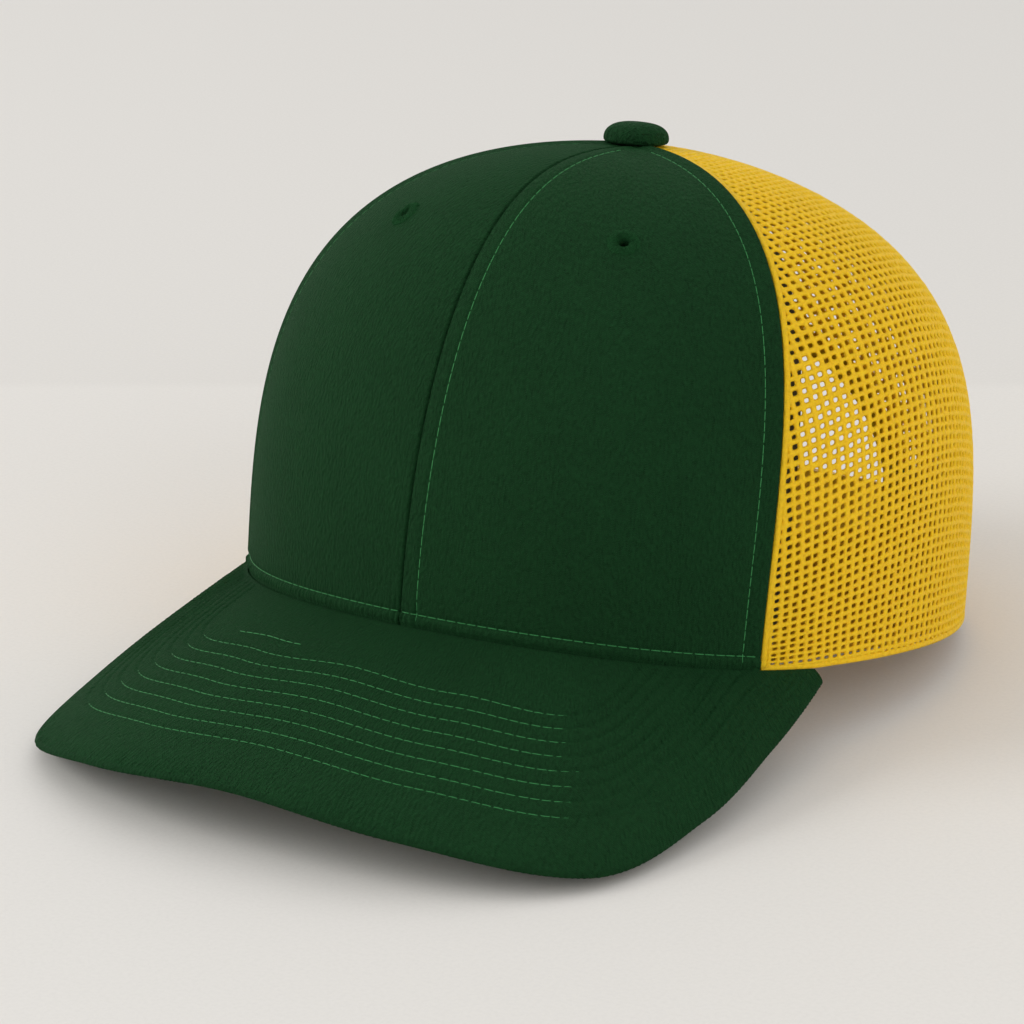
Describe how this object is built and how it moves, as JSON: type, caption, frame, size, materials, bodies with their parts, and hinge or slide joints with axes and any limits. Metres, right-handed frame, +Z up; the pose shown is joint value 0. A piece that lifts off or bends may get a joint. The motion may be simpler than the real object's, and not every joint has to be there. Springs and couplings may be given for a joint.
{
  "type": "mesh-back cap",
  "caption": "Cap with a green cloth front and curved visor, a yellow netting back, a covered top button, and a two-strap snap closure in a rear arch.",
  "frame": {"origin": "middle of the footprint, on the surface the cap rests on", "axes": "+X to the wearer's left, +Y to the back of the cap, +Z up; the visor points to -Y and the cap leans back 10 degrees, resting on the visor's corners and the crown's rear edge"},
  "size_m": [0.192, 0.2566, 0.135],
  "materials": {
    "green_cloth": "dark green plain-woven cloth, matt",
    "green_thread": "green sewing thread, slightly lighter than the cloth",
    "netting": "yellow knitted netting with square rows of round holes",
    "buckram": "stiffened open-weave lining",
    "seam_tape": "narrow woven tape",
    "arch_binding": "narrow folded woven tape",
    "visor_board": "smooth plastic sheet",
    "sweatband": "yellow twill band, padded in front",
    "foam": "soft sponge foam",
    "snap_plastic": "moulded flexible plastic, satin",
    "button_core": "pressed metal"
  },
  "bodies": {
    "crown": {"front_panel_left": "green_cloth", "front_panel_right": "green_cloth", "front_buckram_left": "buckram", "front_buckram_right": "buckram", "mesh_side_left": "netting", "mesh_side_right": "netting", "mesh_back_left": "netting", "mesh_back_right": "netting", "seam_tape_front": "seam_tape", "seam_tape_back": "seam_tape", "seam_tape_front_side_left": "seam_tape", "seam_tape_front_side_right": "seam_tape", "seam_tape_back_side_left": "seam_tape", "seam_tape_back_side_right": "seam_tape", "button_cover": "green_cloth", "button_core": "button_core", "button_back_plate": "button_core", "eyelet_left": "green_thread", "eyelet_right": "green_thread", "visor_top_cover": "green_cloth", "visor_board": "visor_board", "visor_under_cover": "green_cloth", "sweatband": "sweatband", "sweatband_foam": "foam", "arch_binding": "arch_binding", "peg_strap_tab": "snap_plastic", "hole_strap_tab": "snap_plastic"},
    "hole_strap": {"hole_strap": "snap_plastic"},
    "peg_strap": {"peg_strap": "snap_plastic"}
  },
  "joints": [
    {"name": "hole_strap_flex", "type": "hinge", "parent": "crown", "child": "hole_strap", "pos_m": [-0.0388, 0.11761, 0.01248], "axis": [0, 0.1731, 0.9849], "range_deg": [0, 45], "stiffness_Nm_per_rad": 0.02},
    {"name": "peg_strap_flex", "type": "hinge", "parent": "crown", "child": "peg_strap", "pos_m": [0.0388, 0.11761, 0.01248], "axis": [0, 0.1731, 0.9849], "range_deg": [0, 30], "stiffness_Nm_per_rad": 0.02}
  ]
}
